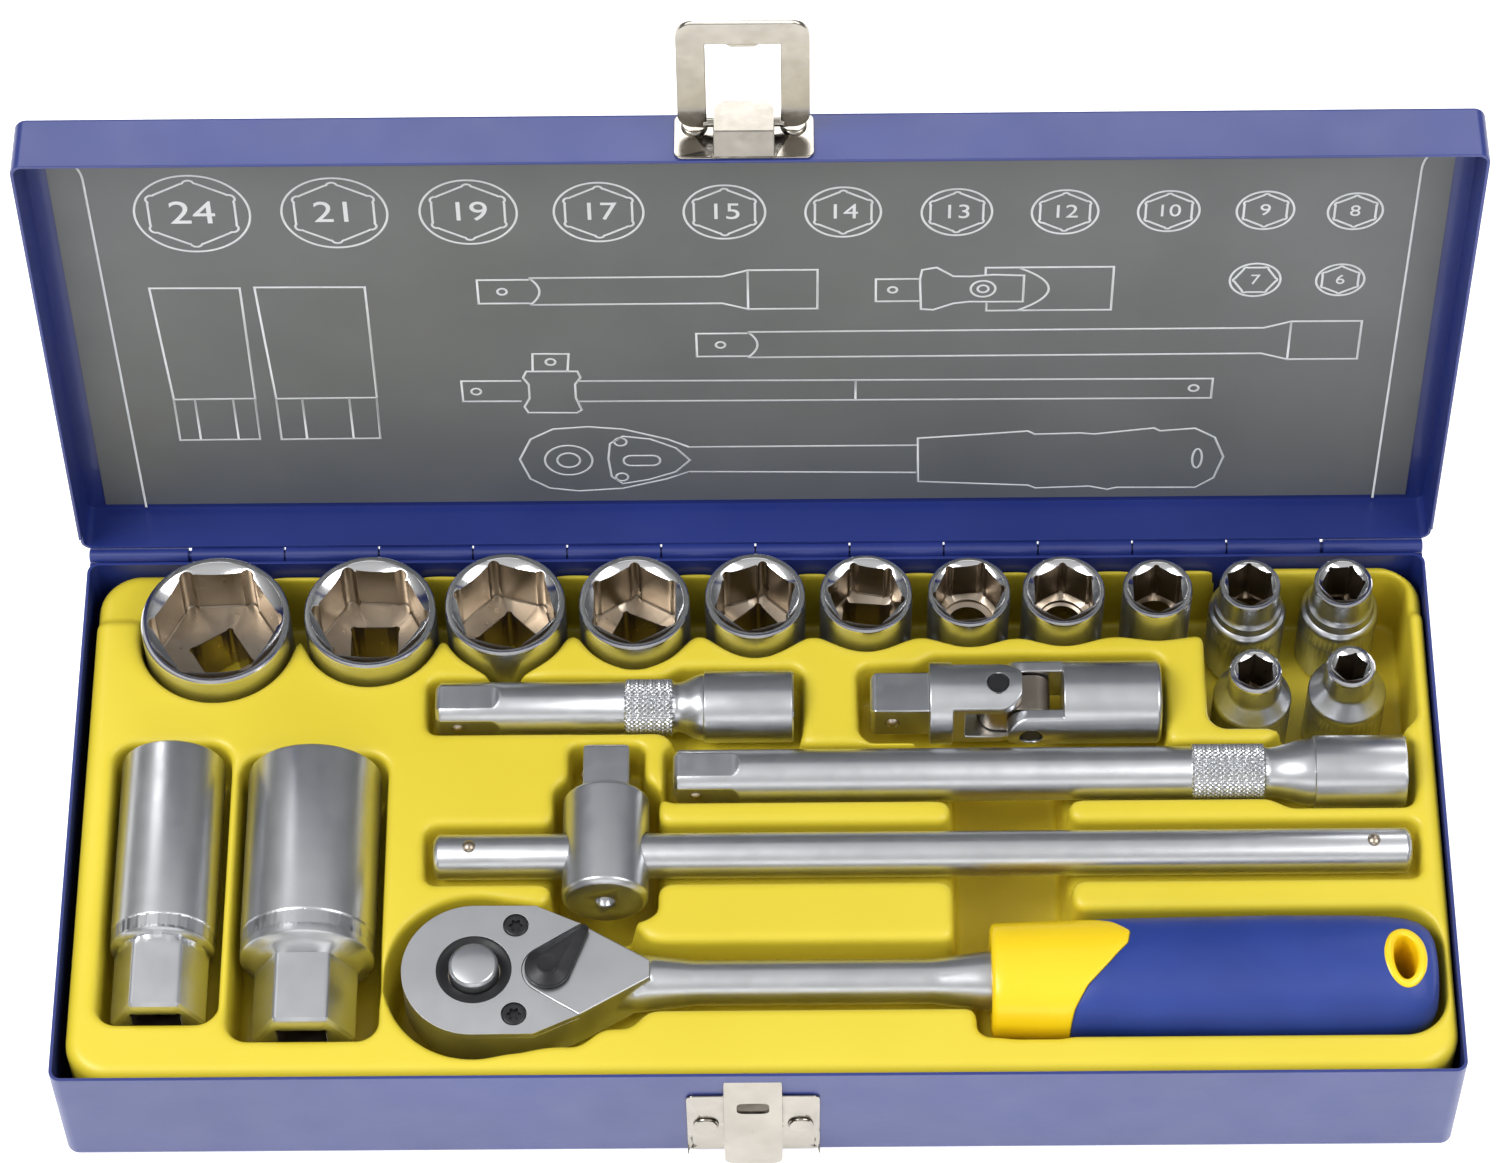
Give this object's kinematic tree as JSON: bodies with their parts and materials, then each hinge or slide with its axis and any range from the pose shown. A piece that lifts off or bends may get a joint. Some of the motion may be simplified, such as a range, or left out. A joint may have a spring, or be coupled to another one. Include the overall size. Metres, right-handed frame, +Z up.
{
  "type": "socket wrench set in case",
  "caption": "Hinged sheet-steel case with a latch, holding upright hex sockets, plug sockets, extension bars, a universal joint, a sliding T handle and a reversible ratchet in a moulded tray.",
  "frame": {"origin": "middle of the underside of the case", "axes": "+X to the right along the case's length, +Y to the back where the hinge is, +Z up"},
  "size_m": [0.2864, 0.1509, 0.1898],
  "materials": {
    "blue_paint": "gloss",
    "nickel": "polished",
    "zinc": "satin",
    "printed_card": "matte",
    "yellow_tray": "satin",
    "satin_chrome": "satin",
    "steel": "satin",
    "black_plastic": "matte",
    "black_steel": "satin",
    "black_rubber": "matte",
    "yellow_plastic": "gloss",
    "blue_plastic": "gloss"
  },
  "bodies": {
    "base": {"case_base": "blue_paint", "hinge_base_leaf": "blue_paint", "hinge_pin": "zinc", "tool_tray": "yellow_tray", "base_catch": "nickel", "catch_rivets": "nickel"},
    "lid": {"case_lid": "blue_paint", "hinge_lid_leaf": "blue_paint", "lid_liner": "printed_card", "lid_latch_plate": "nickel", "lid_rivets": "nickel"},
    "ring": {"latch_ring": "nickel"},
    "hex_24": {"socket_24": "satin_chrome"},
    "hex_21": {"socket_21": "satin_chrome"},
    "hex_19": {"socket_19": "satin_chrome"},
    "hex_17": {"socket_17": "satin_chrome"},
    "hex_15": {"socket_15": "satin_chrome"},
    "hex_14": {"socket_14": "satin_chrome"},
    "hex_13": {"socket_13": "satin_chrome"},
    "hex_12": {"socket_12": "satin_chrome"},
    "hex_10": {"socket_10": "satin_chrome"},
    "hex_9": {"socket_9": "satin_chrome"},
    "hex_8": {"socket_8": "satin_chrome"},
    "hex_7": {"socket_7": "satin_chrome"},
    "hex_6": {"socket_6": "satin_chrome"},
    "plug_16": {"plug_socket_16": "satin_chrome", "plug_insert_16": "black_rubber"},
    "plug_21": {"plug_socket_21": "satin_chrome", "plug_insert_21": "black_rubber"},
    "bar_75": {"extension_75": "satin_chrome", "extension_75_ball": "steel"},
    "bar_150": {"extension_150": "satin_chrome", "extension_150_ball": "steel"},
    "uj_end": {"uj_socket_yoke": "satin_chrome"},
    "uj_cross": {"uj_block": "steel", "uj_pin_cross": "steel"},
    "uj_drive": {"uj_drive_yoke": "satin_chrome", "uj_pin_upright": "steel", "uj_ball": "steel"},
    "tee_bar": {"t_bar": "satin_chrome", "t_bar_balls": "steel"},
    "tee_head": {"t_head": "satin_chrome", "t_head_ball": "steel"},
    "ratchet": {"ratchet_body": "satin_chrome", "ratchet_cover": "satin_chrome", "cover_screws": "black_steel", "button_bezel": "black_plastic", "handle_sleeve": "yellow_plastic", "handle_grip": "blue_plastic", "hang_ring": "steel"},
    "drive": {"drive_gear": "steel", "button_spring": "steel"},
    "button": {"release_button": "satin_chrome"},
    "ball": {"drive_ball": "steel"},
    "lever": {"reversing_lever": "black_steel", "pawl": "steel"}
  },
  "joints": [
    {"name": "lid_hinge", "type": "hinge", "parent": "base", "child": "lid", "pos_m": [0, 0.0632, 0.0335], "axis": [-1, 0, 0], "range_deg": [-94.5, 0]},
    {"name": "latch_ring", "type": "hinge", "parent": "lid", "child": "ring", "pos_m": [-0.001, 0.0795, 0.16162], "axis": [-1, 0, 0], "range_deg": [-94.7, 0]},
    {"name": "lift_24", "type": "slide", "parent": "base", "child": "hex_24", "axis": [0, 0, 1], "range_m": [0, 0.06]},
    {"name": "lift_21", "type": "slide", "parent": "base", "child": "hex_21", "axis": [0, 0, 1], "range_m": [0, 0.06]},
    {"name": "lift_19", "type": "slide", "parent": "base", "child": "hex_19", "axis": [0, 0, 1], "range_m": [0, 0.06]},
    {"name": "lift_17", "type": "slide", "parent": "base", "child": "hex_17", "axis": [0, 0, 1], "range_m": [0, 0.06]},
    {"name": "lift_15", "type": "slide", "parent": "base", "child": "hex_15", "axis": [0, 0, 1], "range_m": [0, 0.06]},
    {"name": "lift_14", "type": "slide", "parent": "base", "child": "hex_14", "axis": [0, 0, 1], "range_m": [0, 0.06]},
    {"name": "lift_13", "type": "slide", "parent": "base", "child": "hex_13", "axis": [0, 0, 1], "range_m": [0, 0.06]},
    {"name": "lift_12", "type": "slide", "parent": "base", "child": "hex_12", "axis": [0, 0, 1], "range_m": [0, 0.06]},
    {"name": "lift_10", "type": "slide", "parent": "base", "child": "hex_10", "axis": [0, 0, 1], "range_m": [0, 0.06]},
    {"name": "lift_9", "type": "slide", "parent": "base", "child": "hex_9", "axis": [0, 0, 1], "range_m": [0, 0.06]},
    {"name": "lift_8", "type": "slide", "parent": "base", "child": "hex_8", "axis": [0, 0, 1], "range_m": [0, 0.06]},
    {"name": "lift_7", "type": "slide", "parent": "base", "child": "hex_7", "axis": [0, 0, 1], "range_m": [0, 0.06]},
    {"name": "lift_6", "type": "slide", "parent": "base", "child": "hex_6", "axis": [0, 0, 1], "range_m": [0, 0.06]},
    {"name": "lift_plug_16", "type": "slide", "parent": "base", "child": "plug_16", "axis": [0, 0, 1], "range_m": [0, 0.06]},
    {"name": "lift_plug_21", "type": "slide", "parent": "base", "child": "plug_21", "axis": [0, 0, 1], "range_m": [0, 0.06]},
    {"name": "lift_bar_75", "type": "slide", "parent": "base", "child": "bar_75", "axis": [0, 0, 1], "range_m": [0, 0.06]},
    {"name": "lift_bar_150", "type": "slide", "parent": "base", "child": "bar_150", "axis": [0, 0, 1], "range_m": [0, 0.06]},
    {"name": "lift_joint", "type": "slide", "parent": "base", "child": "uj_end", "axis": [0, 0, 1], "range_m": [0, 0.06]},
    {"name": "lift_tee", "type": "slide", "parent": "base", "child": "tee_bar", "axis": [0, 0, 1], "range_m": [0, 0.06]},
    {"name": "lift_ratchet", "type": "slide", "parent": "base", "child": "ratchet", "axis": [0, 0, 1], "range_m": [0, 0.06]},
    {"name": "uj_bend", "type": "hinge", "parent": "uj_end", "child": "uj_cross", "pos_m": [0.0572, 0.0262, 0.0315], "axis": [0, 1, 0], "range_deg": [0, 45]},
    {"name": "uj_swing", "type": "hinge", "parent": "uj_cross", "child": "uj_drive", "pos_m": [0.0504, 0.0262, 0.0315], "axis": [0, 0, 1], "range_deg": [-6, 6]},
    {"name": "tee_turn", "type": "hinge", "parent": "tee_bar", "child": "tee_head", "pos_m": [-0.031, -0.0098, 0.0315], "axis": [1, 0, 0], "range_deg": [0, 90]},
    {"name": "drive_spin", "type": "hinge", "parent": "ratchet", "child": "drive", "pos_m": [-0.0572, -0.038, 0.029], "axis": [0, 0, 1], "continuous": true},
    {"name": "reverse", "type": "hinge", "parent": "ratchet", "child": "lever", "pos_m": [-0.0422, -0.038, 0.036], "axis": [0, 0, 1], "range_deg": [-100, 0]},
    {"name": "release", "type": "slide", "parent": "drive", "child": "button", "axis": [0, 0, -1], "range_m": [0, 0.002], "stiffness_N_per_m": 900, "springref_m": -0.001, "deforming": ["button_spring"]},
    {"name": "ball_in", "type": "slide", "parent": "drive", "child": "ball", "axis": [1, 0, 0], "range_m": [0, 0.0009]}
  ],
  "couplings": [
    {"joint": "ball_in", "follows": "release", "ratio": 0.45}
  ]
}
